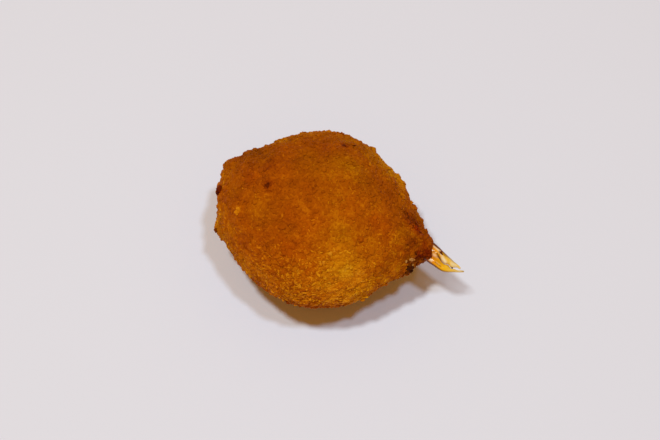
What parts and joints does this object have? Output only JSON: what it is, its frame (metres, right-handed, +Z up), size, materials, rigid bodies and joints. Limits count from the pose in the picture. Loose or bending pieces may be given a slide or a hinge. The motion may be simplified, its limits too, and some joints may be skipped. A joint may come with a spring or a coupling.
{
  "type": "breaded crab claw",
  "caption": "Pear-shaped ball of seafood paste in a fried crumb crust, with the two shell fingers of a crab's pincer standing out of its narrow end.",
  "frame": {"origin": "on the table, under the middle of the whole part's box", "axes": "+X along the pincer towards its tips, +Y across to the side of the movable finger, +Z up from the table"},
  "size_m": [0.0632, 0.0446, 0.0351],
  "materials": {
    "crust": "golden-brown fried crumb, rough and dry with a trace of oil",
    "shell": "thin glossy amber crab shell, pale and half clear at the tips"
  },
  "bodies": {
    "root": {"crumb_crust": "crust", "movable_finger": "shell", "fixed_finger": "shell"}
  },
  "joints": []
}
